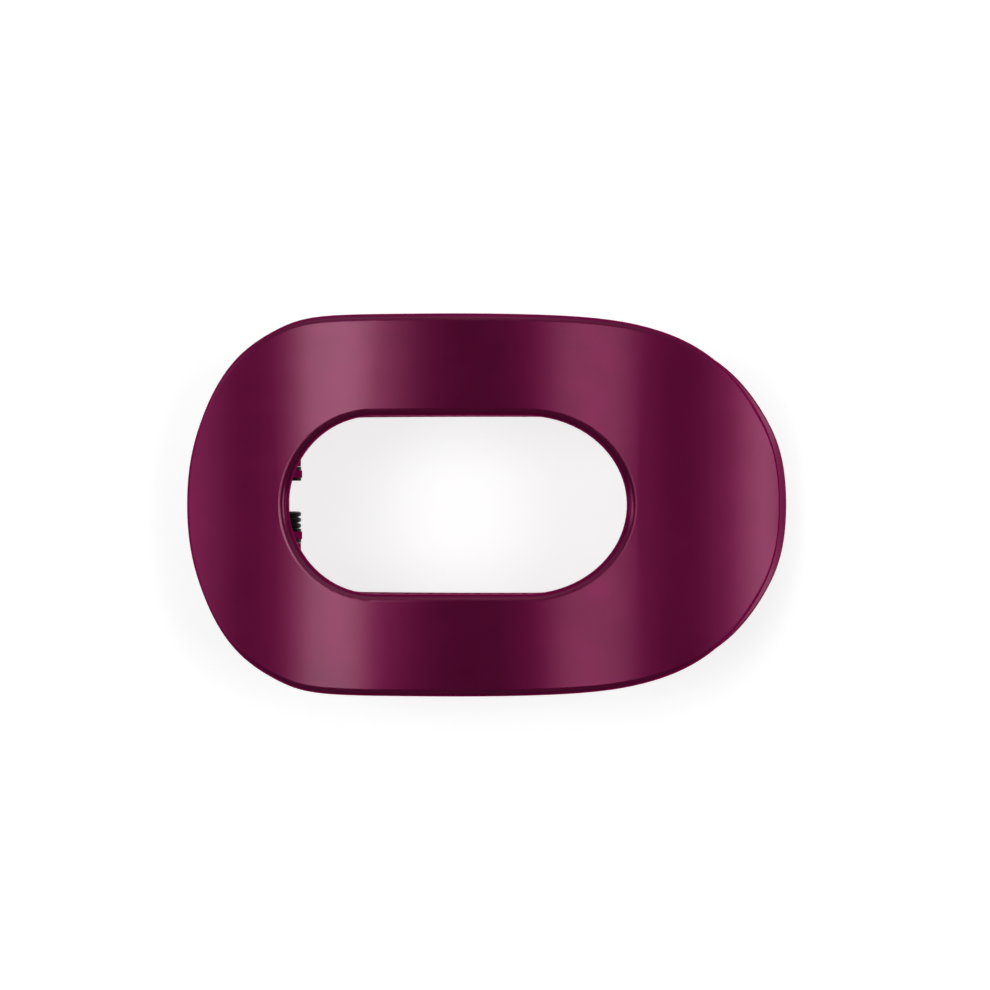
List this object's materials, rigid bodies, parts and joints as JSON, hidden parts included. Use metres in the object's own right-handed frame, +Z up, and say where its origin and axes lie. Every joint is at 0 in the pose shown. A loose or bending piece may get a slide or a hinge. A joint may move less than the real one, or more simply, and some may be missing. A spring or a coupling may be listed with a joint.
{
  "type": "flat hair clip",
  "caption": "Arched oval flat hair clip: two nested rings with interlocking teeth, a sprung hinge near one end and a thumb pad.",
  "frame": {"origin": "middle of the clip's footprint, on the surface that it lies on, arched side up", "axes": "+X along the clip from the thumb pad to the tips, +Y along the hinge axis, +Z up out of the arched shell"},
  "size_m": [0.101, 0.0618, 0.0299],
  "materials": {
    "shell_plastic": "glossy deep burgundy, moulded and polished",
    "jaw_plastic": "glossy deep burgundy, as moulded",
    "pin_steel": "black oxide steel",
    "washer_steel": "black oxide steel",
    "spring_steel": "black coated spring wire"
  },
  "bodies": {
    "lower_jaw": {"lower_jaw": "jaw_plastic", "hinge_pin": "pin_steel", "hinge_washers": "washer_steel"},
    "upper_jaw": {"top_shell": "shell_plastic", "torsion_spring": "spring_steel"}
  },
  "joints": [
    {"name": "jaw_hinge", "type": "hinge", "parent": "lower_jaw", "child": "upper_jaw", "pos_m": [-0.03399, 0, 0.01692], "axis": [0, -1, 0], "range_deg": [0, 30], "stiffness_Nm_per_rad": 0.066, "springref_deg": -57.3, "deforming": ["torsion_spring"]}
  ]
}
